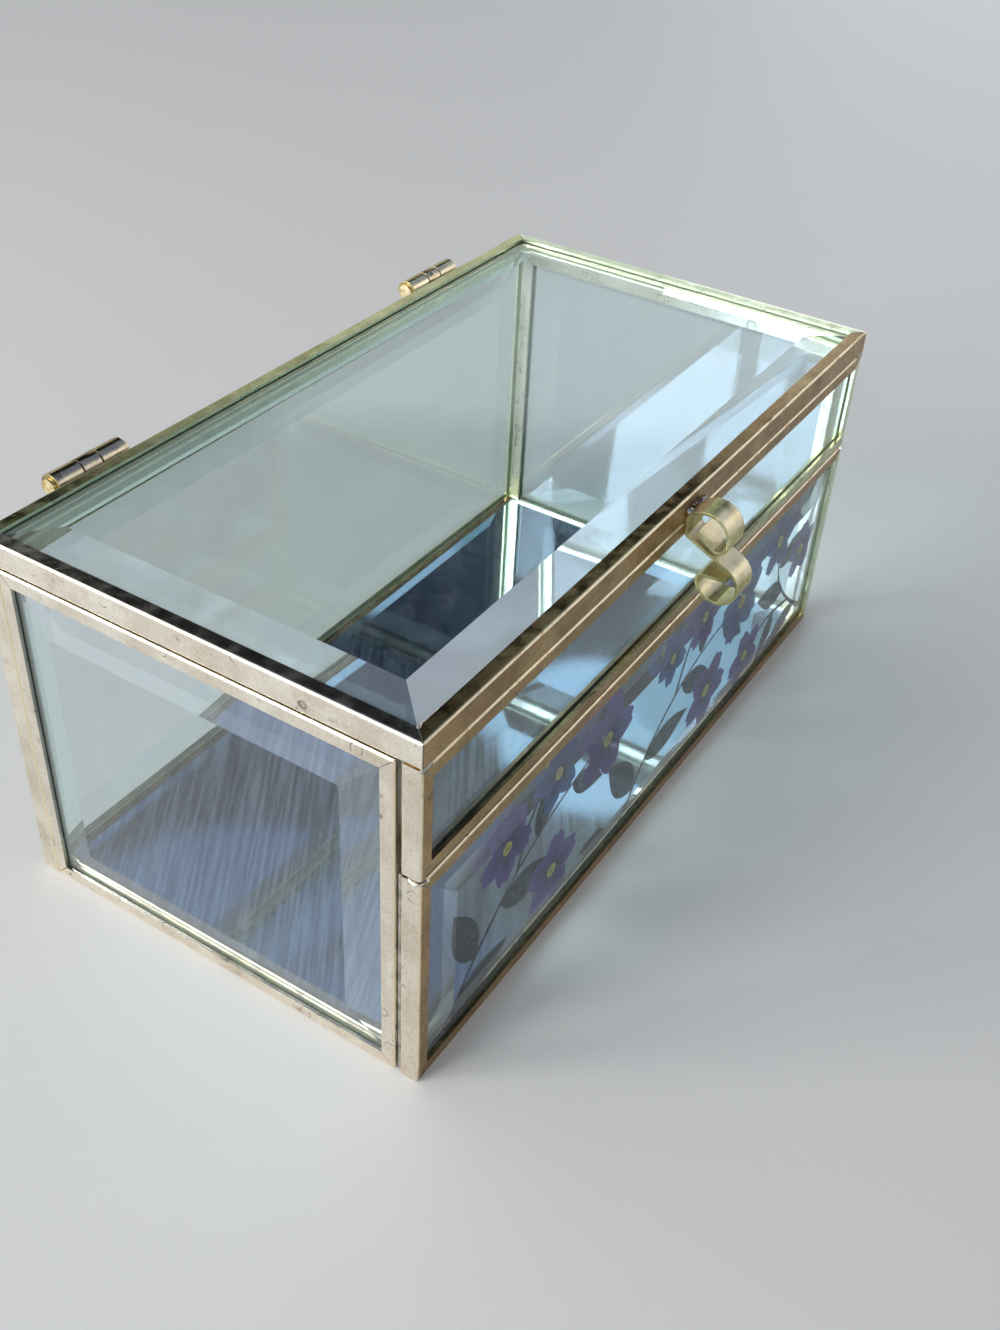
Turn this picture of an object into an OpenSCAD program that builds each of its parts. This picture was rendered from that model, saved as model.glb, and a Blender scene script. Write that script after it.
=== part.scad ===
// Glass casket box: seven panes, each framed in folded brass channel with
// mitred corners, soldered into a mirrored tray and a hinged lid whose front
// drops down as an apron. Millimetres, +Z up. The origin is the middle of the
// underside, +X runs along the length and -Y faces the front.

/* [Box] */
// Length along the front
box_l = 130; // [100:1:220]
// Depth from the front to the back wall
box_w = 69.5; // [50:0.5:140]
// Height with the lid closed
box_h = 59.5; // [48:0.5:120]
// Drop of the apron below the lid
apron_h = 17.5; // [12:0.5:30]

/* [Brass channel] */
// Width of the channel round the walls, the apron and the base
came_w = 3; // [2.6:0.1:4.5]
// Width of the channel round the lid
lid_came_w = 4; // [3:0.1:5]
// Thickness of the folded sheet
sheet_t = 0.5; // [0.3:0.05:0.7]
// Depth of the flanges that lap over a pane
flange_w = 2.1; // [1.6:0.1:4]
// Depth of the flanges that lap over the mirror
base_flange_w = 1; // [0.8:0.1:3]
// Radius of the two folded edges
fold_r = 0.45; // [0.2:0.05:1]
// Seam left open at each mitre
mitre_gap = 0.1; // [0.05:0.05:0.3]

/* [Glass] */
// Width of a bevel, from the pane's edge
bevel_w = 7.4; // [4:0.2:12]
// Room between a bevel and the channel's lip
bevel_gap = 0.15; // [0.05:0.05:0.4]
// Room round a pane's edge inside its channel
edge_gap = 0.1; // [0.05:0.05:0.3]

/* [Closing] */
// Gap under the closed lid and under its apron
lid_gap = 0.3; // [0.2:0.1:1]
// Gap between the apron and the end walls
apron_gap = 0.8; // [0.4:0.1:1.5]

/* [Hinges] */
// Length of the lid's two knuckles
lid_knuckle_l = 4.6; // [3:0.1:8]
// Length of the tray's knuckle between them
tray_knuckle_l = 3.2; // [2:0.1:8]
// Distance of the left hinge's middle from the left end
hinge_left_inset = 21.3; // [12:0.1:40]
// Distance of the right hinge's middle from the right end
hinge_right_inset = 26.8; // [12:0.1:40]
// Outer radius of a knuckle
knuckle_r = 1.8; // [1.5:0.1:3]
// Gap between two knuckles
knuckle_gap = 0.25; // [0.2:0.05:0.5]
// Height of the hinge line below the top of the lid
hinge_drop = 1; // [0:0.1:1.4]
// Gap between the tray's knuckle and the lid
hinge_gap = 0.3; // [0.2:0.05:0.6]
// Thickness of the tabs that carry the knuckles
tab_t = 0.6; // [0.4:0.1:1]
// Length of the tray's tab on the back wall's channel
tab_l = 1.6; // [1:0.1:5]
// Radius of the hinge wire
pin_r = 0.85; // [0.6:0.05:1.2]
// Running clearance round the wire
pin_clearance = 0.05; // [0.03:0.01:0.1]
// Radius of the riveted ends of the wire
rivet_r = 1.25; // [1:0.05:1.5]
// Thickness of the riveted ends
rivet_t = 0.5; // [0.3:0.1:1]

/* [Pull] */
// Width of the scrolled strip
pull_w = 4.8; // [3:0.1:10]
// Thickness of the strip
pull_t = 0.5; // [0.3:0.1:1]
// Distance of the pull right of the middle
pull_offset = 0.6; // [-10:0.1:10]
// Height of the strip's soldered back
pull_back = 2.5; // [1.5:0.1:3]
// Height of the back's top above the lid's underside
pull_rise = 0.9; // [0.8:0.1:2]
// Radius of the two bends at the soldered back
pull_bend_r = 0.6; // [0.4:0.1:1]
// Upward slant of the upper scroll where it leaves the back
scroll_slant = 28; // [10:1:45]
// Length of the upper scroll's straight start
scroll_start = 1.1; // [0.5:0.1:3]
// Radius of the upper scroll's outward bend
scroll_out_r = 3.5; // [2.5:0.1:5]
// Height of the upper scroll's straight front
scroll_front = 0.5; // [0.2:0.1:2]
// Radius of the upper scroll's return bend
scroll_in_r = 1.5; // [1.2:0.1:2.5]
// Turn of the upper scroll's return bend
scroll_in_turn = 130; // [110:1:140]
// Length of the upper scroll's tucked end
scroll_end = 3; // [1:0.1:4]
// Downward slant of the strip between the scrolls
slope_slant = 25.5; // [15:0.5:45]
// Length of the slant between the scrolls
slope_l = 7.4; // [6:0.1:12]
// Radius of the lower scroll
curl_r = 3.1; // [2.4:0.1:4]
// Turn of the lower scroll
curl_turn = 240; // [180:1:260]
// Radius of the bend before the lower scroll's tucked end
curl_tuck_r = 0.9; // [0.5:0.1:1.5]
// Turn of the bend before the lower scroll's tucked end
curl_tuck_turn = 90; // [60:1:110]
// Length of the lower scroll's tucked end
curl_end = 3.6; // [1:0.1:4.5]

/* [Hidden] */
$fn = 48;
// How far a cutting shape reaches past what it cuts
cut = 1;
// Largest turn that one straight chord of a bent strip stands for
chord_turn = 8;
brass = [0.74, 0.58, 0.38];
bright_brass = [0.83, 0.70, 0.42];
glass = [0.66, 0.78, 0.80, 0.4];
silver = [0.78, 0.82, 0.85];
solder = [0.66, 0.63, 0.56];
card = [0.36, 0.28, 0.21];

lid_z = box_h - lid_came_w;
apron_z = lid_z - apron_h;
wall_h = lid_z - lid_gap;
front_h = apron_z - lid_gap;
inner_l = box_l - 2 * came_w;
inner_w = box_w - 2 * came_w;
end_l = inner_w - apron_gap;
end_y = -inner_w / 2 + apron_gap;

// A pane lies on the inner flange and comes flush with the outer one. The
// bevel thins its edge by enough to pass under the outer flange's lip.
pane_inset = sheet_t + edge_gap;
bevel_drop = (sheet_t + bevel_gap) / (1 - (flange_w - pane_inset) / bevel_w);

hinge_y = box_w / 2 + hinge_gap + knuckle_r;
hinge_z = box_h - hinge_drop;
hinge_l = 2 * lid_knuckle_l + tray_knuckle_l + 2 * knuckle_gap;
knuckle_pitch = (lid_knuckle_l + tray_knuckle_l) / 2 + knuckle_gap;
bore_r = pin_r + pin_clearance;
left_hinge_x = -box_l / 2 + hinge_left_inset;
right_hinge_x = box_l / 2 - hinge_right_inset;

// Panels: name, width, height, channel width, flange depth, and the names of the
// edges, counter-clockwise from the bottom one as the panel is seen from outside.
PANELS = [
    ["front_wall", box_l, front_h, came_w, flange_w, ["bottom", "right", "top", "left"]],
    ["back_wall", box_l, wall_h, came_w, flange_w, ["bottom", "left", "top", "right"]],
    ["left_wall", end_l, wall_h, came_w, flange_w, ["bottom", "front", "top", "back"]],
    ["right_wall", end_l, wall_h, came_w, flange_w, ["bottom", "back", "top", "front"]],
    ["base", inner_l, inner_w, came_w, base_flange_w, ["front", "right", "back", "left"]],
    ["lid", box_l, box_w, lid_came_w, flange_w, ["front", "right", "back", "left"]],
    ["apron", box_l, apron_h, came_w, flange_w, ["bottom", "right", "top", "left"]]
];
EDGES = [0, 1, 2, 3];
// Hinges and ends: name, and which way from the middle of the box.
HINGES = [["left", left_hinge_x], ["right", right_hinge_x]];
ENDS = [["left", -1], ["right", 1]];
// The lid's knuckles: name, and which way from the hinge's middle, seen from
// the middle of the box.
LID_KNUCKLES = [["outer", 1], ["inner", -1]];

function is_bevelled(panel) = panel[0] != "base" && panel[0] != "apron";
function channel_name(panel, edge) = str(panel[0], "_channel_", panel[5][edge]);
function glass_name(panel) = str(panel[0], panel[0] == "base" ? "_mirror" : "_glass");
function lid_knuckle_name(hinge, knuckle) = str("hinge_", hinge[0], "_lid_knuckle_", knuckle[0]);

// Stands a panel, drawn flat with its outer face up, in its place in the box.
module place(panel) {
    name = panel[0];
    if (name == "front_wall")
        translate([-box_l / 2, -inner_w / 2, 0]) rotate([90, 0, 0]) children();
    if (name == "back_wall")
        translate([box_l / 2, inner_w / 2, 0]) rotate([90, 0, 180]) children();
    if (name == "left_wall")
        translate([-inner_l / 2, inner_w / 2, 0]) rotate([90, 0, -90]) children();
    if (name == "right_wall")
        translate([inner_l / 2, end_y, 0]) rotate([90, 0, 90]) children();
    if (name == "base")
        translate([-inner_l / 2, -inner_w / 2, 0]) children();
    if (name == "lid")
        translate([-box_l / 2, -box_w / 2, lid_z]) children();
    if (name == "apron")
        translate([-box_l / 2, -inner_w / 2, apron_z]) rotate([90, 0, 0]) children();
}

// Moves a strip drawn along the bottom edge to one of a panel's four edges.
module along_edge(panel, edge) {
    corner = [[0, 0], [panel[1], 0], [panel[1], panel[2]], [0, panel[2]]][edge];
    translate([corner[0], corner[1], 0]) rotate([0, 0, 90 * edge]) children();
}

// Cross-section of the channel: the web is at x = 0 and the flanges run to +x.
module channel_section(width, flange) {
    difference() {
        union() {
            translate([fold_r, 0]) square([flange - fold_r, width]);
            translate([0, fold_r]) square([flange, width - 2 * fold_r]);
            translate([fold_r, fold_r]) circle(fold_r);
            translate([fold_r, width - fold_r]) circle(fold_r);
        }
        translate([sheet_t, sheet_t]) square([flange, width - 2 * sheet_t]);
    }
}

// One mitred strip of channel.
module channel(panel, edge) {
    length = edge % 2 == 0 ? panel[1] : panel[2];
    width = panel[3];
    flange = panel[4];
    setback = mitre_gap / sqrt(2);
    color(brass) place(panel) along_edge(panel, edge) intersection() {
        rotate([90, 0, 90]) linear_extrude(length) channel_section(width, flange);
        translate([0, 0, -cut]) linear_extrude(width + 2 * cut) polygon([
            [setback - cut, -cut], [length - setback + cut, -cut],
            [length - setback - flange - cut, flange + cut],
            [setback + flange + cut, flange + cut]
        ]);
    }
}

// Profile across a bevelled pane.
module bevel_profile(width, thickness) {
    edge = thickness - bevel_drop;
    polygon([
        [0, 0], [width, 0], [width, edge],
        [width - bevel_w, thickness], [bevel_w, thickness], [0, edge]
    ]);
}

// Bevelled pane: two crossed profiles meet in mitres at the corners.
module bevelled_pane(panel) {
    width = panel[1] - 2 * pane_inset;
    height = panel[2] - 2 * pane_inset;
    thickness = panel[3] - sheet_t;
    color(glass) place(panel) translate([pane_inset, pane_inset, sheet_t]) intersection() {
        translate([0, height, 0]) rotate([90, 0, 0])
            linear_extrude(height) bevel_profile(width, thickness);
        rotate([90, 0, 90])
            linear_extrude(width) bevel_profile(height, thickness);
    }
}

// Plain pane that fills the channel's slot.
module flat_pane(panel, tint) {
    size = [panel[1] - 2 * pane_inset, panel[2] - 2 * pane_inset, panel[3] - 2 * sheet_t];
    color(tint) place(panel) translate([pane_inset, pane_inset, sheet_t]) cube(size);
}

// Card under the mirror, flush with the channel round it.
module base_backing() {
    size = [inner_l - 2 * base_flange_w, inner_w - 2 * base_flange_w, sheet_t];
    color(card) translate([-size[0] / 2, -size[1] / 2, 0]) cube(size);
}

// Bead of solder between the front wall and an end wall.
module corner_solder(side) {
    bead_r = apron_gap / 2;
    reach = came_w - fold_r;
    color(solder) scale([side, 1, 1])
        translate([inner_l / 2, -inner_w / 2 + bead_r, sheet_t])
            linear_extrude(front_h - 2 * sheet_t) {
                translate([0, -bead_r]) square([reach - bead_r, 2 * bead_r]);
                translate([reach - bead_r, 0]) circle(bead_r);
            }
}

// Draws a profile of the hinge, seen from the right end, along the hinge line.
module on_hinge_line(x, length) {
    translate([x - length / 2, hinge_y, hinge_z]) rotate([90, 0, 90])
        linear_extrude(length) children();
}

// Knuckle soldered to the lid's back edge by its tab.
module lid_knuckle(hinge_x, side) {
    drop = lid_came_w - hinge_drop - fold_r;
    color(bright_brass) on_hinge_line(hinge_x + side * knuckle_pitch, lid_knuckle_l) difference() {
        union() {
            circle(knuckle_r);
            translate([-knuckle_r - hinge_gap, -drop]) square([tab_t, drop]);
        }
        circle(bore_r);
    }
}

// Knuckle whose tab runs down to the back wall's channel, onto a bed of solder.
module tray_knuckle(hinge_x) {
    drop = hinge_z - wall_h + fold_r;
    color(brass) on_hinge_line(hinge_x, tray_knuckle_l) difference() {
        union() {
            circle(knuckle_r);
            translate([-knuckle_r, -drop - tab_l]) square([tab_t, drop + tab_l]);
            translate([-knuckle_r - hinge_gap, -drop - tab_l]) square([hinge_gap + tab_t, tab_l]);
        }
        circle(bore_r);
    }
}

// Hinge wire with its two riveted ends.
module hinge_pin(hinge_x) {
    shank = hinge_l + 2 * pin_clearance;
    color(bright_brass) translate([hinge_x, hinge_y, hinge_z]) rotate([0, 90, 0]) {
        cylinder(r = pin_r, h = shank, center = true);
        for (end = [-1, 1])
            translate([0, 0, end * (shank + rivet_t) / 2])
                cylinder(r = rivet_r, h = rivet_t, center = true);
    }
}

// Strip bent along a path. A step of the path is [length] for a straight or
// [radius, turn] for a bend, which turns left when the turn is positive. A
// point of it is [x, y, heading].
function after(p, step, share = 1) =
    len(step) == 1
    ? [p[0] + share * step[0] * cos(p[2]), p[1] + share * step[0] * sin(p[2]), p[2]]
    : let (side = sign(step[1]), heading = p[2] + share * step[1]) [
        p[0] + side * step[0] * (sin(heading) - sin(p[2])),
        p[1] - side * step[0] * (cos(heading) - cos(p[2])),
        heading
    ];
function chords(step) = len(step) == 1 ? 1 : ceil(abs(step[1]) / chord_turn);
function path(start, steps, i = 0) =
    i == len(steps) ? []
    : concat(
        [for (k = [1 : chords(steps[i])]) after(start, steps[i], k / chords(steps[i]))],
        path(after(start, steps[i]), steps, i + 1)
    );
function backwards(points) =
    [for (i = [len(points) - 1 : -1 : 0]) [points[i][0], points[i][1], points[i][2] + 180]];
function beside(p, distance) = [p[0] - distance * sin(p[2]), p[1] + distance * cos(p[2])];

module bent_strip(points, thickness) {
    polygon(concat(
        [for (p = points) beside(p, thickness / 2)],
        [for (i = [len(points) - 1 : -1 : 0]) beside(points[i], -thickness / 2)]
    ));
}

// Scrolled strip soldered to the front of the lid. Seen from the left end,
// x is the distance out from the front and y the height.
module lid_pull() {
    up = [pull_t / 2, 0, 90];
    down = [pull_t / 2, 0, -90];
    upper = path(up, [
        [pull_bend_r, scroll_slant - 90], [scroll_start], [scroll_out_r, -90 - scroll_slant],
        [scroll_front], [scroll_in_r, -scroll_in_turn], [scroll_end]
    ]);
    lower = path(down, [
        [pull_back], [pull_bend_r, 90 - slope_slant], [slope_l],
        [curl_r, -curl_turn], [curl_tuck_r, -curl_tuck_turn], [curl_end]
    ]);
    color(bright_brass)
        translate([pull_offset + pull_w / 2, -box_w / 2, lid_z + pull_rise])
            rotate([90, 0, -90]) linear_extrude(pull_w)
                bent_strip(concat(backwards(upper), [down], lower), pull_t);
}

for (panel = PANELS) {
    for (edge = EDGES)
        channel(panel, edge);
    union() {
        if (is_bevelled(panel)) bevelled_pane(panel);
        else flat_pane(panel, panel[0] == "base" ? silver : glass);
    }
}
base_backing();
for (end = ENDS)
    corner_solder(end[1]);
for (hinge = HINGES) {
    for (knuckle = LID_KNUCKLES)
        lid_knuckle(hinge[1], knuckle[1] * sign(hinge[1]));
    tray_knuckle(hinge[1]);
    hinge_pin(hinge[1]);
}
lid_pull();
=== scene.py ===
import math

import bmesh
import bpy
from mathutils import Matrix, Vector, noise


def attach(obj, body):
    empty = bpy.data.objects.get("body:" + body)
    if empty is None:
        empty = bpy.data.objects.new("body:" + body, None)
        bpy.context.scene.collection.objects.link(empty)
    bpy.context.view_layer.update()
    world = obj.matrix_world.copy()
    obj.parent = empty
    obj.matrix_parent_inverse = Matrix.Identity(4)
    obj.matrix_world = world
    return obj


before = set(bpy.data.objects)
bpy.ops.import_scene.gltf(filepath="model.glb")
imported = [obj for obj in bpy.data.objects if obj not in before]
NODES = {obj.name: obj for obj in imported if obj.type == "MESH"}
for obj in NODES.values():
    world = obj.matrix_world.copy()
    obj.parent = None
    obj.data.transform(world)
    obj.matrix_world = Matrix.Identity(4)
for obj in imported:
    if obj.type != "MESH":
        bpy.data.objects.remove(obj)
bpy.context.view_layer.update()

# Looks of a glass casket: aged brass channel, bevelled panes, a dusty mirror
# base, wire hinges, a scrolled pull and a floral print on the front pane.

MM = 0.001

# Camera, fitted to the box's corners in the photograph: place in mm, lens and sensor in mm.
CAMERA_AT = Vector((-159.66, -99.84, 160.24)) * MM
CAMERA_FORWARD = Vector((0.6784, 0.4023, -0.6147))
CAMERA_UP = Vector((0.4984, 0.3627, 0.7874))
FOCAL_LENGTH = 38.57
SENSOR = 36

# The room around the box. Azimuth is in degrees from +X towards +Y.
CEILING = (0.068, 0.098, 0.200)
HORIZON = (0.66, 0.71, 0.74)
DAYLIGHT = (0.86, 0.92, 0.98)
WINDOW_SIDE = (148, 19)
# Soft reflectors and dark flags: azimuth, elevation, half width, half height, colour.
PANELS = [
    (40, 39, 27, 11, (0.014, 0.015, 0.017)),
    (25.5, 40.5, 4.0, 3.2, (0.85, 1.15, 1.35)),
    (18.5, 37.5, 4.5, 4.5, (0.42, 0.70, 0.77)),
    (46, 47, 6, 3, (0.10, 0.14, 0.24)),
    (-38, 21, 11, 8, (2.4, 2.3, 2.1)),
    (24, 16, 17, 6, (0.85, 0.98, 0.98)),
]
FLOOR_COLOUR = (0.64, 0.60, 0.555)
FLOOR_REACH = 4.0  # m, from the middle to each edge
# Softboxes: name, place in m, width and height in m, watts. All aim at the middle of the box.
SOFTBOXES = [
    ("window_near", (-0.72, 0.27, 0.37), (0.22, 0.36), 3.2),
    ("window_far", (-0.58, 0.52, 0.37), (0.24, 0.36), 3.5),
    ("side_window", (1.5, 0.2, 0.40), (0.8, 0.3), 3.6),
]
SOFTBOX_COLOUR = (0.88, 0.94, 1.0)
BOX_MIDDLE = Vector((0, 0, 0.03))


# ---- helpers -------------------------------------------------------------

class Tree:
    """A material's or the world's node tree, with short calls for its nodes."""

    def __init__(self, owner):
        owner.use_nodes = True
        self.tree = owner.node_tree
        self.tree.nodes.clear()

    def add(self, kind, sockets=None, **settings):
        """Adds a node. A socket's value is a number, a colour or another node's output."""
        node = self.tree.nodes.new(kind)
        for name, value in settings.items():
            setattr(node, name, value)
        for name, value in (sockets or {}).items():
            self.set(node.inputs[name], value)
        return node

    def set(self, socket, value):
        if isinstance(value, bpy.types.NodeSocket):
            self.tree.links.new(value, socket)
        elif isinstance(value, tuple) and len(value) == 3 and socket.type == "RGBA":
            socket.default_value = (*value, 1)
        else:
            socket.default_value = value

    def math(self, operation, a, b=0.0, clamp=False):
        node = self.add("ShaderNodeMath", {0: a, 1: b}, operation=operation, use_clamp=clamp)
        return node.outputs[0]

    def vector_math(self, operation, a, b):
        node = self.add("ShaderNodeVectorMath", {0: a, 1: b}, operation=operation)
        return node.outputs["Value" if operation == "DOT_PRODUCT" else "Vector"]

    def ramp(self, value, low, high, to_low=0.0, to_high=1.0):
        """Maps low..high smoothly to to_low..to_high."""
        limits = {"From Min": low, "From Max": high, "To Min": to_low, "To Max": to_high}
        node = self.add(
            "ShaderNodeMapRange",
            {"Value": value, **limits},
            interpolation_type="SMOOTHSTEP",
        )
        return node.outputs["Result"]

    def mix(self, factor, a, b):
        node = self.add("ShaderNodeMix", data_type="RGBA")
        self.set(node.inputs[0], factor)
        self.set(node.inputs[6], a)
        self.set(node.inputs[7], b)
        return node.outputs[2]

    def place(self, stretch=(1, 1, 1), turn=0.0):
        """Object coordinates in millimetres, turned about Z by degrees and then shortened
        along each axis by stretch."""
        coordinates = self.add("ShaderNodeTexCoord").outputs["Object"]
        if turn:
            turned_by = {"Vector": coordinates, "Angle": -math.radians(turn)}
            rotate = self.add("ShaderNodeVectorRotate", turned_by, rotation_type="Z_AXIS")
            coordinates = rotate.outputs[0]
        scale = tuple(1 / (MM * s) for s in stretch)
        return self.vector_math("MULTIPLY", coordinates, scale)

    def straightness(self, normal):
        """1 on faces square to an axis, less on slanted and rounded ones."""
        absolute = self.vector_math("ABSOLUTE", normal, (0, 0, 0))
        sides = self.add("ShaderNodeSeparateXYZ", {0: absolute})
        widest = self.math("MAXIMUM", sides.outputs[0], sides.outputs[1])
        return self.math("MAXIMUM", widest, sides.outputs[2])

    def noise(self, where, size, detail=3.0, roughness=0.55):
        """Noise from 0 to 1 with features of about size millimetres."""
        node = self.add(
            "ShaderNodeTexNoise",
            {"Vector": where, "Scale": 1 / size, "Detail": detail, "Roughness": roughness},
        )
        return node.outputs["Fac"]


def new_material(name):
    material = bpy.data.materials.new(name)
    return material, Tree(material)


def give(material, *names):
    """Gives CAD nodes a material."""
    for name in names:
        slots = NODES[name].material_slots
        for slot in slots:
            slot.material = material


def matching(*parts):
    return [name for name in NODES if all(part in name for part in parts)]


# ---- camera, floor and light ---------------------------------------------

def make_camera():
    """The photograph's camera. It has no lens shift."""
    camera = bpy.data.objects.new("camera", bpy.data.cameras.new("camera"))
    bpy.context.scene.collection.objects.link(camera)
    right = CAMERA_FORWARD.cross(CAMERA_UP).normalized()
    up = right.cross(CAMERA_FORWARD).normalized()
    turn = Matrix((right, up, -CAMERA_FORWARD.normalized())).transposed()
    camera.matrix_world = Matrix.Translation(CAMERA_AT) @ turn.to_4x4()
    camera.data.sensor_width = SENSOR
    camera.data.lens = FOCAL_LENGTH
    camera.data.clip_start = 0.01
    bpy.context.scene.camera = camera


def make_floor():
    """A plain pale floor under the box, out to a level horizon."""
    mesh = bpy.data.meshes.new("floor")
    signs = ((-1, -1), (1, -1), (1, 1), (-1, 1))
    corners = [(x * FLOOR_REACH, y * FLOOR_REACH, 0) for x, y in signs]
    mesh.from_pydata(corners, [], [(0, 1, 2, 3)])
    floor = bpy.data.objects.new("floor", mesh)
    bpy.context.scene.collection.objects.link(floor)
    material, tree = new_material("floor")
    surface = tree.add("ShaderNodeBsdfPrincipled", {"Base Color": FLOOR_COLOUR, "Roughness": 0.6})
    tree.add("ShaderNodeOutputMaterial", {"Surface": surface.outputs[0]})
    mesh.materials.append(material)


def towards(azimuth, elevation):
    """Unit vector in a direction given in degrees."""
    a, e = math.radians(azimuth), math.radians(elevation)
    return Vector((math.cos(e) * math.cos(a), math.cos(e) * math.sin(a), math.sin(e)))


def make_world():
    """One light for every ray: a pale horizon, a window side, a shaded ceiling and PANELS."""
    world = bpy.data.worlds.new("studio")
    bpy.context.scene.world = world
    tree = Tree(world)
    direction = tree.add("ShaderNodeTexCoord").outputs["Generated"]
    height = tree.vector_math("DOT_PRODUCT", direction, (0, 0, 1))
    light = tree.mix(tree.ramp(height, 0.42, 0.62), HORIZON, CEILING)
    to_window = tree.vector_math("DOT_PRODUCT", direction, tuple(towards(*WINDOW_SIDE)))
    light = tree.mix(tree.ramp(to_window, 0.05, 0.75), light, DAYLIGHT)
    for azimuth, elevation, half_width, half_height, colour in PANELS:
        ahead = towards(azimuth, elevation)
        across = towards(azimuth + 90, 0)
        above = ahead.cross(across)
        across = across / math.sin(math.radians(half_width))
        above = above / math.sin(math.radians(half_height))
        x = tree.vector_math("DOT_PRODUCT", direction, tuple(across))
        y = tree.vector_math("DOT_PRODUCT", direction, tuple(above))
        spread = tree.math("ADD", tree.math("MULTIPLY", x, x), tree.math("MULTIPLY", y, y))
        facing = tree.vector_math("DOT_PRODUCT", direction, tuple(ahead))
        cover = tree.math("MULTIPLY", tree.ramp(spread, 1.15, 0.75), tree.ramp(facing, 0.0, 0.1))
        light = tree.mix(cover, light, colour)
    background = tree.add("ShaderNodeBackground", {"Color": light, "Strength": 1.0})
    tree.add("ShaderNodeOutputWorld", {"Surface": background.outputs[0]})


def make_softbox(name, at, size, watts):
    light = bpy.data.lights.new(name, "AREA")
    light.shape = "RECTANGLE"
    light.size, light.size_y = size
    light.energy = watts
    light.color = SOFTBOX_COLOUR
    lamp = bpy.data.objects.new(name, light)
    lamp.location = at
    lamp.rotation_euler = (BOX_MIDDLE - Vector(at)).to_track_quat("-Z", "Y").to_euler()
    bpy.context.scene.collection.objects.link(lamp)


# ---- materials -----------------------------------------------------------

# Aged brass: the dull and the bright end of each tint. Golden, cream, olive and pale are one brass
# with the painted light and reflection of the front, left, back and right.
BRASS_TINTS = {
    "golden": ((0.27, 0.16, 0.065), (0.53, 0.37, 0.175)),
    "cream": ((0.66, 0.56, 0.43), (0.93, 0.87, 0.76)),
    "olive": ((0.40, 0.37, 0.16), (0.72, 0.70, 0.38)),
    "pale": ((0.58, 0.63, 0.40), (0.88, 0.93, 0.70)),
    "gilt": ((0.36, 0.31, 0.11), (0.74, 0.69, 0.37)),
    "aged": ((0.24, 0.18, 0.075), (0.58, 0.47, 0.24)),
    "bronze": ((0.12, 0.075, 0.035), (0.40, 0.27, 0.12)),
}
# Painted light: the pale brass of the channels' hidden faces.
LINING_PAINTED_LIGHT = (0.84, 0.86, 0.58)
TARNISH = (0.030, 0.019, 0.012)
STAIN = (0.22, 0.10, 0.055)
RUBBED = (0.98, 0.86, 0.64)


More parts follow.
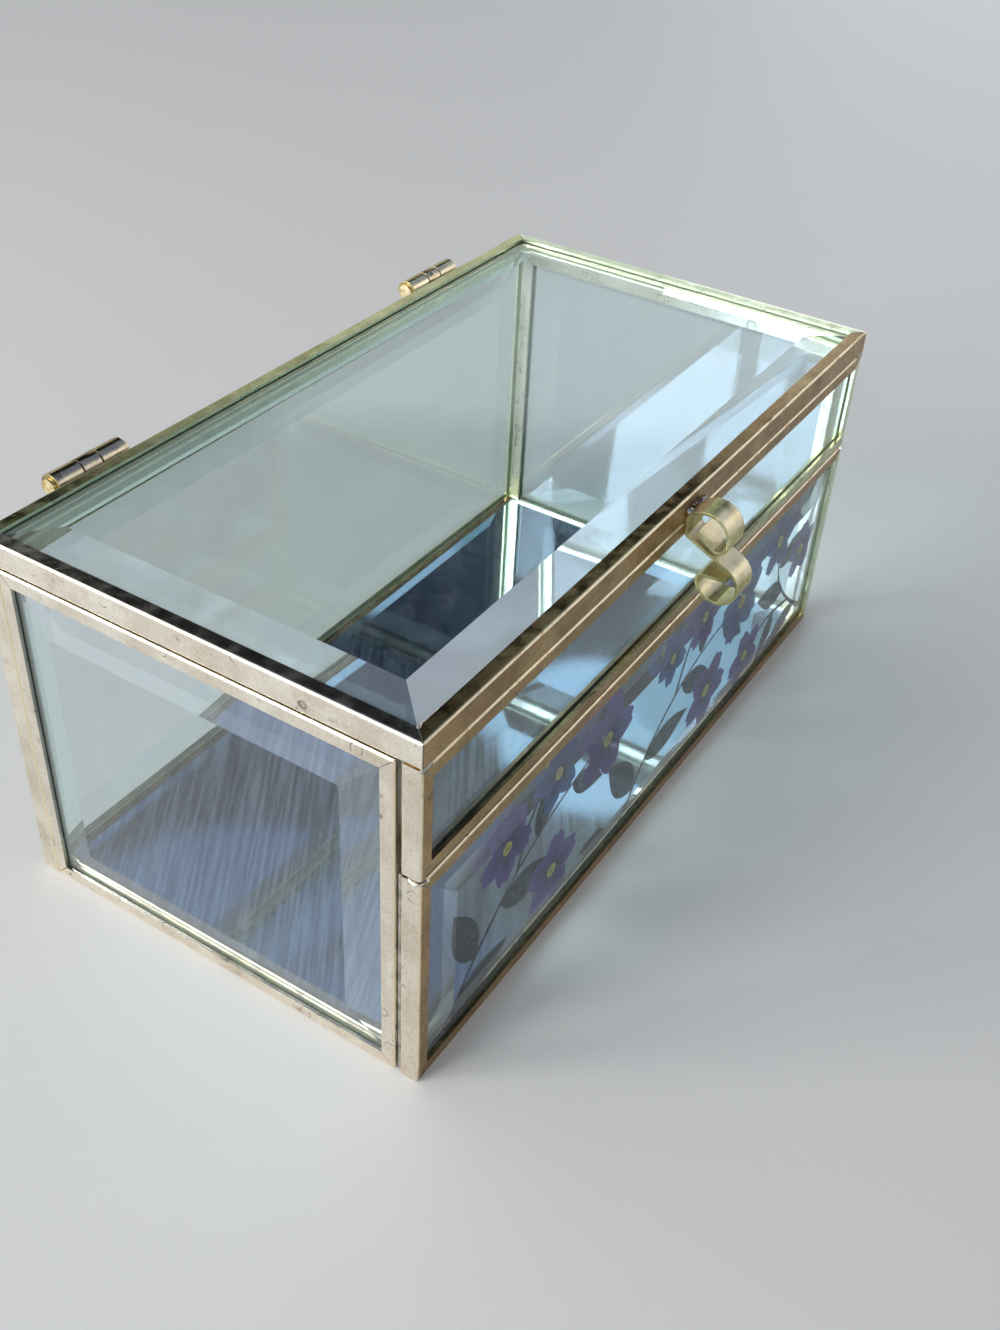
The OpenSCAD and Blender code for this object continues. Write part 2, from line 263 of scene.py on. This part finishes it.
def brass(name, tint, along, painted_light_ends=0.9, satin=0.0, painted_light_right=0.0):
    """Aged brass sheet: blotchy colour, fine lines drawn along the strip, dark specks,
    crescent dents and folds rubbed bright. Painted light makes faces towards -X paler by the
    share given for the ends, and the strip paler towards +X by the share given for the right.
    Faces that look up are smoother."""
    material, tree = new_material(name)
    dull, bright = BRASS_TINTS[tint]
    place = tree.place()
    normal = tree.add("ShaderNodeTexCoord").outputs["Normal"]
    sides = tree.add("ShaderNodeSeparateXYZ", {0: normal})
    stretch = tuple(16 if axis == along else 1 for axis in "xyz")
    drawn = tree.place(stretch)
    lines = tree.noise(drawn, 0.45, detail=3)
    grain = tree.noise(place, 0.5, detail=3)
    blotches = tree.ramp(tree.noise(place, 8, detail=5, roughness=0.6), 0.30, 0.70)
    shade = tree.math("MULTIPLY", blotches, 0.6)
    shade = tree.math("ADD", shade, tree.math("MULTIPLY", lines, 0.45))
    shade = tree.math("ADD", shade, tree.math("MULTIPLY", tree.math("SUBTRACT", grain, 0.5), 0.9))
    colour = tree.mix(shade, dull, bright)
    # Painted light: faces towards -X are turned cream, as if lit from that side.
    painted_lit_end = tree.ramp(sides.outputs[0], -0.55, -0.85)
    cream = tree.mix(shade, *BRASS_TINTS["cream"])
    colour = tree.mix(tree.math("MULTIPLY", painted_lit_end, painted_light_ends), colour, cream)

    # Painted light: the strip turns pale towards +X, as if more light fell there.
    across = tree.add("ShaderNodeSeparateXYZ", {0: place}).outputs[0]
    right = tree.math("MULTIPLY", tree.ramp(across, -10, 50), painted_light_right)
    colour = tree.mix(right, colour, tree.mix(shade, *BRASS_TINTS["pale"]))

    specks = tree.ramp(tree.noise(place, 0.9, detail=5, roughness=0.7), 0.665, 0.72)
    stains = tree.ramp(tree.noise(place, 3.2, detail=6, roughness=0.72), 0.60, 0.70)
    colour = tree.mix(tree.math("MULTIPLY", stains, 0.5), colour, STAIN)
    colour = tree.mix(tree.math("MULTIPLY", specks, 0.85), colour, TARNISH)

    cells = tree.add("ShaderNodeTexVoronoi", {"Vector": place, "Scale": 1 / 5.5})
    ring = tree.math("ABSOLUTE", tree.math("SUBTRACT", cells.outputs["Distance"], 0.18))
    broken = tree.ramp(tree.noise(place, 1.9), 0.48, 0.54)
    crescent = tree.math("MULTIPLY", tree.ramp(ring, 0.022, 0.0), broken)
    colour = tree.mix(tree.math("MULTIPLY", crescent, 0.6), colour, TARNISH)

    fold = tree.ramp(tree.straightness(normal), 0.985, 0.90)
    rub = tree.math("MULTIPLY", fold, tree.ramp(tree.noise(place, 3), 0.28, 0.5, 0.35, 1.0))
    colour = tree.mix(tree.math("MULTIPLY", rub, 0.8), colour, RUBBED)

    relief = tree.math("MULTIPLY", lines, 0.22)
    relief = tree.math("ADD", relief, tree.math("MULTIPLY", grain, 0.35))
    relief = tree.math("ADD", relief, tree.math("MULTIPLY", tree.noise(place, 4), 0.9))
    relief = tree.math("SUBTRACT", relief, tree.math("MULTIPLY", crescent, 0.6))
    relief = tree.math("SUBTRACT", relief, tree.math("MULTIPLY", specks, 0.4))
    flat_top = tree.ramp(sides.outputs[2], 0.90, 0.99)
    uneven = tree.math("SUBTRACT", 1.0, tree.math("MULTIPLY", flat_top, 0.85))
    relief = tree.math("MULTIPLY", relief, uneven)
    bump = tree.add("ShaderNodeBump", {"Strength": 0.5, "Distance": 0.12 * MM, "Height": relief})
    roughness = tree.ramp(tree.noise(place, 3), 0.3, 0.7, 0.26, 0.40)
    roughness = tree.math("SUBTRACT", roughness, tree.math("MULTIPLY", flat_top, 0.19))
    roughness = tree.math("ADD", roughness, tree.math("MULTIPLY", specks, 0.3))
    roughness = tree.math("ADD", roughness, satin)
    # Painted light: the hidden faces inside the channels are painted pale brass, so the recesses
    # do not go dark.
    colour = tree.mix(channel_lining(tree, place, sides), colour, LINING_PAINTED_LIGHT)
    surface = tree.add(
        "ShaderNodeBsdfPrincipled",
        {"Base Color": colour, "Metallic": 1.0, "Roughness": roughness, "Normal": bump.outputs[0]},
    )
    tree.add("ShaderNodeOutputMaterial", {"Surface": surface.outputs[0]})
    return material


# Where the channels' hidden faces lie, in mm from the middle of the box.
LINING_Y = (31.9, 34.3)
LINING_X = (62.15, 64.55)
LINING_BLEND = 0.05


def channel_lining(tree, place, sides):
    """1 on the faces inside the channels, which are painted pale as painted light in the recess.
    """
    where = tree.add("ShaderNodeSeparateXYZ", {0: place})
    share = 0.0
    for axis, (near, far) in ((0, LINING_X), (1, LINING_Y)):
        depth = tree.math("ABSOLUTE", where.outputs[axis])
        past_near = tree.ramp(depth, near, near + LINING_BLEND)
        before_far = tree.ramp(depth, far, far - LINING_BLEND)
        inside = tree.math("MULTIPLY", past_near, before_far)
        facing = tree.ramp(tree.math("ABSOLUTE", sides.outputs[axis]), 0.7, 0.9)
        share = tree.math("ADD", share, tree.math("MULTIPLY", inside, facing), clamp=True)
    return share


# Each pane's tint with reflected colour painted in: its flat middle, then its bevel on the hinge
# side.
PANE_TINTS_AND_REFLECTIONS = {
    "lid_glass": ((0.93, 0.945, 0.935), (0.62, 0.88, 0.78)),
    "apron_glass": ((0.86, 0.92, 0.92), (0.70, 0.82, 0.74)),
    "front_wall_glass": ((0.86, 0.92, 0.95), (0.70, 0.82, 0.80)),
    "back_wall_glass": ((0.93, 0.945, 0.94), (0.62, 0.82, 0.70)),
    "left_wall_glass": ((0.885, 0.895, 0.93), (0.68, 0.80, 0.76)),
    "right_wall_glass": ((0.86, 0.905, 0.955), (0.66, 0.82, 0.76)),
}
BEVEL_TINT = (0.82, 0.86, 0.88)
GROUND_TINT = (0.72, 0.86, 0.70)
# The glass is green in depth, and lets this much of a lamp's light through each face.
GLASS_DEPTH, GLASS_DENSITY = (0.30, 0.88, 0.74), 22.0
LAMP_SHARE = (0.89, 0.92, 0.92)
# The lid's front bevel is satin at the left. The satin fades out between these X, in mm.
LID_FRONT_HAZE = 0.38
SATIN_PART = (-55, 15)


def glass(name, thin, clear_tint_and_reflection, back_tint_and_reflection, front_haze=0.0):
    """Clear glass with a cool tint and painted reflected colour, dust specks, wiping marks,
    hazier bevels and ground green edges. The pane is thin along one axis, 0 to 2. A bevel
    that leans to the front gets front_haze at its left end."""
    material, tree = new_material(name)
    place = tree.place()
    dust = tree.ramp(tree.noise(place, 0.6, detail=4, roughness=0.7), 0.70, 0.76)
    haze = tree.ramp(tree.noise(tree.place((1, 1, 9)), 2.6, detail=4), 0.42, 0.75, 0.0, 0.02)
    normal = tree.add("ShaderNodeTexCoord").outputs["Normal"]
    facet = tree.ramp(tree.straightness(normal), 0.9985, 0.9945)
    haze = tree.math("ADD", haze, tree.math("MULTIPLY", facet, 0.10))
    sides = tree.add("ShaderNodeSeparateXYZ", {0: normal})
    ground = tree.ramp(tree.math("ABSOLUTE", sides.outputs[thin]), 0.5, 0.2)
    haze = tree.math("ADD", haze, tree.math("MULTIPLY", ground, 0.10))
    to_front = tree.math("MULTIPLY", facet, tree.ramp(sides.outputs[1], -0.06, -0.10))
    across = tree.add("ShaderNodeSeparateXYZ", {0: place}).outputs[0]
    satin = tree.math("MULTIPLY", to_front, tree.ramp(across, *SATIN_PART, front_haze, 0.0))
    haze = tree.math("ADD", haze, satin)
    clouding = tree.math("ADD", tree.math("MULTIPLY", dust, 0.30), haze, clamp=True)
    clear = tree.math("SUBTRACT", 1.0, clouding)
    roughness = tree.ramp(tree.noise(place, 8), 0.4, 0.7, 0.0, 0.02)
    roughness = tree.math("ADD", roughness, tree.math("MULTIPLY", ground, 0.25))
    to_back = tree.math("MULTIPLY", facet, tree.ramp(sides.outputs[1], 0.06, 0.10))
    # Painted reflection: the pane's tints for its middle and for its bevels towards the back carry
    # reflected colour besides the glass's own tint.
    tint = tree.mix(facet, clear_tint_and_reflection, BEVEL_TINT)
    tint = tree.mix(to_back, tint, back_tint_and_reflection)
    tint = tree.mix(ground, tint, GROUND_TINT)
    surface = tree.add(
        "ShaderNodeBsdfPrincipled",
        {
            "Base Color": tint,
            "Transmission Weight": clear,
            "Roughness": roughness,
            "IOR": 1.52,
        },
    )
    open_to_lamps = tree.add("ShaderNodeBsdfTransparent", {"Color": LAMP_SHARE})
    path = tree.add("ShaderNodeLightPath")
    shader = tree.add("ShaderNodeMixShader")
    tree.set(shader.inputs[0], path.outputs["Is Shadow Ray"])
    tree.set(shader.inputs[1], surface.outputs[0])
    tree.set(shader.inputs[2], open_to_lamps.outputs[0])
    depth = {"Color": GLASS_DEPTH, "Density": GLASS_DENSITY}
    absorption = tree.add("ShaderNodeVolumeAbsorption", depth)
    tree.add(
        "ShaderNodeOutputMaterial",
        {"Surface": shader.outputs[0], "Volume": absorption.outputs[0]},
    )
    return material


# The mirror was wiped at this angle from +X towards +Y, in degrees. The streaks fade out
# between these X, in mm.
WIPED_TOWARDS = 33
WIPED_PART = (-15, 15)


def mirror(name):
    """Silvered base under dust, with wiping streaks in its left half and white specks. Its blue
    colour is a painted reflection.
    """
    material, tree = new_material(name)
    place = tree.place()
    dust = tree.ramp(tree.noise(place, 1.2, detail=6, roughness=0.75), 0.52, 0.72)
    wiped = tree.noise(tree.place((30, 1, 1), WIPED_TOWARDS), 0.6, detail=2, roughness=0.5)
    across = tree.add("ShaderNodeSeparateXYZ", {0: place}).outputs[0]
    left_half = tree.ramp(across, *WIPED_PART, 1.0, 0.0)
    streaks = tree.math("MULTIPLY", tree.ramp(wiped, 0.38, 0.64), left_half)
    specks = tree.ramp(tree.noise(place, 0.45, detail=3, roughness=0.8), 0.735, 0.77)
    # Painted reflection: the silver is blue, and a lighter blue along the wiping streaks.
    colour = tree.mix(streaks, (0.58, 0.68, 0.84), (0.64, 0.77, 0.97))
    colour = tree.mix(specks, colour, (0.92, 0.93, 0.93))
    dulled = tree.math("MULTIPLY", dust, 0.03)
    dulled = tree.math("ADD", dulled, tree.math("MULTIPLY", streaks, 0.065))
    dulled = tree.math("ADD", dulled, tree.math("MULTIPLY", specks, 0.7), clamp=True)
    metal = tree.math("SUBTRACT", 1.0, dulled)
    roughness = tree.math("ADD", 0.03, tree.math("MULTIPLY", streaks, 0.04))
    roughness = tree.math("ADD", roughness, tree.math("MULTIPLY", dust, 0.12))
    surface = tree.add(
        "ShaderNodeBsdfPrincipled",
        {"Base Color": colour, "Metallic": metal, "Roughness": roughness},
    )
    tree.add("ShaderNodeOutputMaterial", {"Surface": surface.outputs[0]})
    return material


def plain_metal(name, dull, bright, roughness, grain):
    """Mottled metal with a grain of so many millimetres."""
    material, tree = new_material(name)
    place = tree.place()
    colour = tree.mix(tree.ramp(tree.noise(place, grain, detail=4), 0.35, 0.65), dull, bright)
    bump = tree.add(
        "ShaderNodeBump",
        {"Strength": 0.4, "Distance": 0.1 * MM, "Height": tree.noise(place, grain / 4)},
    )
    surface = tree.add(
        "ShaderNodeBsdfPrincipled",
        {"Base Color": colour, "Metallic": 1.0, "Roughness": roughness, "Normal": bump.outputs[0]},
    )
    tree.add("ShaderNodeOutputMaterial", {"Surface": surface.outputs[0]})
    return material


def card(name):
    """Brown backing card with faint fibres."""
    material, tree = new_material(name)
    place = tree.place()
    fibres = tree.noise(tree.place((6, 1, 1)), 0.4, detail=4)
    colour = tree.mix(tree.noise(place, 6), (0.10, 0.075, 0.055), (0.17, 0.13, 0.10))
    bump = tree.add("ShaderNodeBump", {"Strength": 0.3, "Distance": 0.1 * MM, "Height": fibres})
    surface = tree.add(
        "ShaderNodeBsdfPrincipled",
        {"Base Color": colour, "Roughness": 0.85, "Normal": bump.outputs[0]},
    )
    tree.add("ShaderNodeOutputMaterial", {"Surface": surface.outputs[0]})
    return material


def enamel(name, deep, light, ridges):
    """Print colour that runs from deep to light as the mesh's "tone" attribute says."""
    material, tree = new_material(name)
    tone = tree.add("ShaderNodeAttribute", attribute_name="tone").outputs["Fac"]
    mottle = tree.noise(tree.place(), 1.2, detail=4)
    veins = tree.noise(tree.place((1, 1, 5)), ridges, detail=2)
    mottling = tree.math("MULTIPLY", tree.math("SUBTRACT", mottle, 0.5), 0.9)
    veining = tree.math("MULTIPLY", tree.math("SUBTRACT", veins, 0.5), 0.5)
    shade = tree.math("ADD", tone, mottling)
    shade = tree.math("ADD", shade, veining, clamp=True)
    bump = tree.add("ShaderNodeBump", {"Strength": 0.3, "Distance": 0.05 * MM, "Height": mottle})
    surface = tree.add(
        "ShaderNodeBsdfPrincipled",
        {
            "Base Color": tree.mix(shade, deep, light),
            "Roughness": 0.5,
            "Specular IOR Level": 0.05,
            "Alpha": tree.ramp(mottle, 0.3, 0.7, 0.98, 0.88),
            "Normal": bump.outputs[0],
        },
    )
    tree.add("ShaderNodeOutputMaterial", {"Surface": surface.outputs[0]})
    return material


# ---- dressing the CAD nodes ----------------------------------------------

def strip_axis(panel, edge):
    """The axis that a panel's channel strip runs along."""
    if panel in ("left_wall", "right_wall"):
        return "y" if edge in ("bottom", "top") else "z"
    if panel in ("front_wall", "back_wall", "apron"):
        return "x" if edge in ("bottom", "top") else "z"
    return "y" if edge in ("left", "right") else "x"


def painted_light_tint(panel, edge):
    """The brass is painted warm at the front, cream at the left, olive at the back and pale at
    the right, as in the photograph: the light and reflection that each side gets, painted in."""
    if panel == "right_wall" or edge == "right":
        return "pale"
    if panel == "back_wall" or (panel, edge) == ("lid", "back"):
        return "olive"
    if panel == "left_wall" or (panel, edge) == ("lid", "left"):
        return "cream"
    return "golden"


def dress_frame():
    """Gives every CAD node its material."""
    for name in matching("_channel_"):
        panel, edge = name.split("_channel_")
        tint, along = painted_light_tint(panel, edge), strip_axis(panel, edge)
        key = f"brass_{tint}_{along}"
        give(bpy.data.materials.get(key) or brass(key, tint, along), name)
    # Painted light pales the apron's bottom rail towards +X.
    give(brass("apron_rail", "golden", "x", painted_light_right=0.6), "apron_channel_bottom")
    for name in matching("_glass"):
        thin = {"lid": 2, "left": 0, "right": 0}.get(name.split("_")[0], 1)
        front_haze = LID_FRONT_HAZE if name == "lid_glass" else 0.0
        pane = glass(name.removesuffix("_glass") + "_pane", thin, *PANE_TINTS_AND_REFLECTIONS[name], front_haze)
        give(pane, name)
    give(mirror("mirror"), "base_mirror")
    give(card("backing_card"), "base_backing")
    solder = plain_metal("solder_grey", (0.30, 0.28, 0.25), (0.62, 0.59, 0.54), 0.42, 2.0)
    give(solder, *matching("corner_solder"))
    give(brass("hinge_aged", "aged", "x", painted_light_ends=0.0), *matching("lid_knuckle"))
    give(brass("hinge_bronze", "bronze", "x", painted_light_ends=0.0), *matching("tray_knuckle"))
    wire = plain_metal("wire_gold", (0.62, 0.46, 0.20), (0.92, 0.80, 0.52), 0.24, 1.0)
    give(wire, *matching("_pin"))
    give(brass("pull_gilt", "gilt", "z", painted_light_ends=0.0, satin=0.12), "lid_pull")


# Easing of the sheet metal's edges, in mm and degrees.
WELD_WITHIN = 0.001
EASE_WIDTH = 0.06
EASE_ABOVE = 40
SHARP_ABOVE = 38


def smooth_metal():
    """Smooths the bends of the sheet metal, keeps its flats flat and eases sharp edges."""
    for name, node in NODES.items():
        if "_glass" in name or "mirror" in name or "backing" in name:
            continue
        mesh = node.data
        custom = mesh.attributes.get("custom_normal")
        if custom:
            mesh.attributes.remove(custom)
        mesh.shade_smooth()
        weld = node.modifiers.new("weld", "WELD")
        weld.merge_threshold = WELD_WITHIN * MM
        ease = node.modifiers.new("ease", "BEVEL")
        ease.width = EASE_WIDTH * MM
        ease.segments = 2
        ease.limit_method = "ANGLE"
        ease.angle_limit = math.radians(EASE_ABOVE)
        split = node.modifiers.new("split", "EDGE_SPLIT")
        split.split_angle = math.radians(SHARP_ABOVE)
        flats = node.modifiers.new("flats", "WEIGHTED_NORMAL")
        flats.weight = 100
        flats.keep_sharp = True


# ---- print on the front pane --------------------------------------------

# The print lies just inside the pane's inner face. Places are in mm, angles in degrees.
PRINT_BACK = -32.265
LAYER = 0.012
LAYERS = {"stem": 0, "leaf": 1, "rib": 2, "petal": 3, "vein": 5, "heart": 6}
LEAF_GREEN, PETAL_VIOLET, PETAL_BLUE, HEART_GOLD, VEIN_BLACK = range(5)
PETALS = 5
RIBBON_TONE = 0.4
# Stems: points x, z.
STEMS = [
    [(-58, 3), (-50, 12), (-41, 19), (-30, 24), (-17, 27)],
    [(-41, 19), (-38, 27), (-31, 33)],
    [(-9, 3), (-3, 12), (6, 19), (17, 23), (29, 24)],
    [(6, 19), (9, 27), (14, 32)],
    [(61, 5), (53, 11), (46, 19), (43, 29)],
    [(53, 11), (43, 12), (35, 9)],
]
# Leaves: x, z, length, width, angle.
LEAVES = [
    (-57, 4, 15, 6, 14), (-51, 11, 14, 5.5, 112), (-45, 16, 15, 6, -10), (-36, 21.5, 11, 4.6, 72),
    (-27, 25, 11, 4.4, -30), (-22, 26, 8, 3.8, 62), (-6, 8, 15, 6, 130), (-3, 12, 15, 5.6, 2),
    (8, 20, 13, 5, -24), (14, 22.5, 10, 4.4, 82), (22, 24, 12, 4.6, -40), (57, 8, 13, 5, 200),
    (49, 15, 13, 5.2, 160), (45, 22, 11, 4.6, 20), (46, 12, 11, 4.4, 250), (-14, 5, 9, 4, 165),
]
# Blossoms: x, z, radius, turn.
BLOSSOMS = [
    (-17, 26, 7.6, 0), (-31, 29.5, 5.8, 25), (-44, 26, 6.4, 50), (-31, 11, 7.0, 10),
    (29, 24, 7.8, 30), (14, 29.5, 5.6, 5), (19, 11.5, 7.2, 60), (43, 28.5, 6.2, 15),
    (35, 9, 6.2, 40), (55, 21, 5.8, 20), (3, 28, 4.8, 48),
]


class Flat:
    """A print's faces on planes square to Y, with a tone for each vertex."""

    def __init__(self):
        self.mesh = bmesh.new()
        self.tone = self.mesh.verts.layers.float.new("tone")

    def point(self, x, z, layer, tone):
        vertex = self.mesh.verts.new((x * MM, (PRINT_BACK - layer * LAYER) * MM, z * MM))
        vertex[self.tone] = tone
        return vertex

    def fan(self, heart, rim, layer, colour, tones=(0.0, 1.0)):
        """Triangles from a heart point to a closed rim."""
        centre = self.point(*heart, layer, tones[0])
        ring = [self.point(x, z, layer, tones[1]) for x, z in rim]
        for one, other in zip(ring, ring[1:] + ring[:1]):
            self.mesh.faces.new((centre, one, other)).material_index = colour

    def ribbon(self, line, widths, layer, colour):
        """A strip of changing width along a line of points."""
        sides = []
        for i, (x, z) in enumerate(line):
            ahead, behind = line[min(i + 1, len(line) - 1)], line[max(i - 1, 0)]
            angle = math.atan2(ahead[1] - behind[1], ahead[0] - behind[0])
            dx, dz = -math.sin(angle) * widths[i] / 2, math.cos(angle) * widths[i] / 2
            left = self.point(x + dx, z + dz, layer, RIBBON_TONE)
            right = self.point(x - dx, z - dz, layer, RIBBON_TONE)
            sides.append((left, right))
        for (a, b), (c, d) in zip(sides, sides[1:]):
            self.mesh.faces.new((a, b, d, c)).material_index = colour


def smooth_line(points, steps=8):
    """Catmull-Rom curve through the points."""
    padded = [points[0], *points, points[-1]]
    line = []
    for a, b, c, d in zip(padded, padded[1:], padded[2:], padded[3:]):
        for k in range(steps):
            t = k / steps
            line.append(tuple(
                0.5 * (2 * q + (r - p) * t + (2 * p - 5 * q + 4 * r - s) * t ** 2
                       + (3 * q - p - 3 * r + s) * t ** 3)
                for p, q, r, s in zip(a, b, c, d)
            ))
    return line + [points[-1]]


def turned(x, z, angle, distance, side=0.0):
    """The point that is distance ahead of x, z and side to the left of that line."""
    c, s = math.cos(math.radians(angle)), math.sin(math.radians(angle))
    return (x + distance * c - side * s, z + distance * s + side * c)


def draw_leaf(flat, x, z, length, width, angle):
    shares = [i / 10 for i in range(1, 10)]
    bulge = [width / 2 * math.sin(math.pi * t ** 0.8) for t in shares]
    upper = [turned(x, z, angle, length * t, w) for t, w in zip(shares, bulge)]
    lower = [turned(x, z, angle, length * t, -w) for t, w in zip(shares, bulge)]
    rim = [(x, z), *lower, turned(x, z, angle, length), *reversed(upper)]
    middle = turned(x, z, angle, length * 0.45)
    flat.fan(middle, rim, LAYERS["leaf"], LEAF_GREEN, (1.0, 0.0))
    rib = [turned(x, z, angle, length * t) for t in (0, 0.3, 0.6, 0.92)]
    flat.ribbon(rib, [0.35, 0.3, 0.2, 0.08], LAYERS["rib"], VEIN_BLACK)


def petal_rim(x, z, radius, angle):
    """Outline of one petal, with a faintly wavy edge."""
    rim = []
    for step in range(17):
        around = math.pi * (step / 16 - 0.5) * 2
        waves = 1 - 0.07 * math.cos(6 * around)
        reach = radius * (0.56 + 0.44 * math.cos(around)) * waves
        rim.append(turned(x, z, angle, reach, radius * 0.37 * math.sin(around)))
    return rim


def draw_blossom(flat, x, z, radius, turn, colour):
    for k in range(PETALS):
        angle = turn + 360 / PETALS * k
        flat.fan((x, z), petal_rim(x, z, radius, angle), LAYERS["petal"] + k % 2, colour)
        vein = [turned(x, z, angle, radius * t) for t in (0.15, 0.45, 0.75)]
        flat.ribbon(vein, [0.28, 0.2, 0.05], LAYERS["vein"], VEIN_BLACK)
    heart = [turned(x, z, 30 * k, radius * 0.17) for k in range(12)]
    flat.fan((x, z), heart, LAYERS["heart"], HEART_GOLD)


def make_print():
    """Sprigs of small five-petalled blossoms with simple leaves."""
    flat = Flat()
    for stem in STEMS:
        line = smooth_line(stem)
        widths = [0.9 - 0.5 * i / len(line) for i in range(len(line))]
        flat.ribbon(line, widths, LAYERS["stem"], VEIN_BLACK)
    for leaf in LEAVES:
        draw_leaf(flat, *leaf)
    for i, blossom in enumerate(BLOSSOMS):
        draw_blossom(flat, *blossom, PETAL_BLUE if i % 3 == 1 else PETAL_VIOLET)
    mesh = bpy.data.meshes.new("front_print")
    flat.mesh.to_mesh(mesh)
    flat.mesh.free()
    for material in (
        enamel("print_leaf", (0.002, 0.006, 0.006), (0.008, 0.030, 0.026), 0.8),
        enamel("print_violet", (0.018, 0.006, 0.070), (0.105, 0.050, 0.250), 0.6),
        enamel("print_blue", (0.006, 0.012, 0.070), (0.035, 0.085, 0.270), 0.6),
        enamel("print_gold", (0.30, 0.20, 0.03), (0.62, 0.50, 0.13), 0.4),
        enamel("print_line", (0.006, 0.008, 0.012), (0.02, 0.03, 0.035), 0.5),
    ):
        mesh.materials.append(material)
    piece = bpy.data.objects.new("front_print", mesh)
    bpy.context.scene.collection.objects.link(piece)
    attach(piece, "tray")


# ---- solder --------------------------------------------------------------

# Places in mm: Y of the front, half the length, Z of the front wall's top and of the lid's
# top, and the width of a channel's flange.
FRONT, END, SEAM, LID_TOP, LIP = -34.75, 65, 37.7, 59.5, 2.1
# Each bead's body, metal and lumps. A lump is its centre, then its half extents.
BEADS = {
    "post_cap_left": ("tray", "cream", [
        ((-END + 1.0, FRONT + 1.2, SEAM - 0.30), (1.25, 1.45, 0.42)),
        ((-END + 1.5, FRONT + 2.6, SEAM - 0.38), (0.9, 0.8, 0.34)),
    ]),
    "post_cap_right": ("tray", "cream", [
        ((END - 1.1, FRONT + 1.5, SEAM - 0.35), (1.3, 1.7, 0.42)),
    ]),
    "pull_bead": ("lid", "grey", [
        ((-1.3, FRONT - 0.20, 57.3), (0.8, 0.45, 0.42)),
        ((0.1, FRONT - 0.15, 57.6), (0.5, 0.35, 0.30)),
        ((2.2, FRONT - 0.22, 57.2), (1.2, 0.48, 0.40)),
        ((3.5, FRONT - 0.12, 57.0), (0.6, 0.30, 0.28)),
        ((0.6, FRONT - 0.10, 53.2), (1.9, 0.35, 0.45)),
    ]),
    "lip_crumbs": ("lid", "cream", [
        ((-END + 2.3, FRONT + LIP + 0.05, LID_TOP - 0.12), (0.55, 0.38, 0.20)),
        ((-END + 3.2, FRONT + LIP + 0.15, LID_TOP - 0.20), (0.35, 0.22, 0.22)),
        ((-END + 4.4, FRONT + LIP + 0.08, LID_TOP - 0.20), (0.50, 0.20, 0.20)),
        ((-END + 5.9, FRONT + LIP + 0.06, LID_TOP - 0.22), (0.28, 0.16, 0.18)),
        ((-END + 7.3, FRONT + LIP + 0.10, LID_TOP - 0.24), (0.45, 0.15, 0.16)),
        ((-END + 9.6, FRONT + LIP + 0.05, LID_TOP - 0.24), (0.25, 0.12, 0.15)),
    ]),
    "apron_joint_left": ("lid", "grey", [
        ((-END + 0.9, FRONT + 0.15, 55.45), (1.3, 0.28, 0.32)),
    ]),
    "apron_joint_right": ("lid", "grey", [
        ((END - 1.0, FRONT + 0.15, 55.45), (1.2, 0.28, 0.32)),
    ]),
}


def make_beads():
    """Lumpy beads of solder at the posts, the pull's root and the frame's joints."""
    metals = {
        "grey": plain_metal("bead_grey", (0.20, 0.18, 0.16), (0.58, 0.55, 0.50), 0.38, 1.2),
        "cream": plain_metal("bead_cream", (0.50, 0.42, 0.31), (0.90, 0.84, 0.70), 0.34, 1.2),
    }
    for name, (body, metal, lumps) in BEADS.items():
        shape = bmesh.new()
        for seed, (centre, size) in enumerate(lumps):
            lump = bmesh.ops.create_icosphere(shape, subdivisions=3, radius=1)["verts"]
            for vertex in lump:
                where = vertex.co * 1.3 + Vector((seed, len(name), 3 * seed))
                vertex.co *= 1 + 0.28 * noise.noise(where) + 0.10 * noise.noise(where * 2.7)
                vertex.co = (Vector(c * s for c, s in zip(vertex.co, size)) + Vector(centre)) * MM
        mesh = bpy.data.meshes.new(name)
        shape.to_mesh(mesh)
        shape.free()
        mesh.shade_smooth()
        mesh.materials.append(metals[metal])
        piece = bpy.data.objects.new(name, mesh)
        bpy.context.scene.collection.objects.link(piece)
        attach(piece, body)


# ---- scene ---------------------------------------------------------------

scene = bpy.context.scene
scene.view_settings.view_transform = "Standard"
make_camera()
make_floor()
make_world()
for softbox in SOFTBOXES:
    make_softbox(*softbox)
dress_frame()
smooth_metal()
make_print()
make_beads()
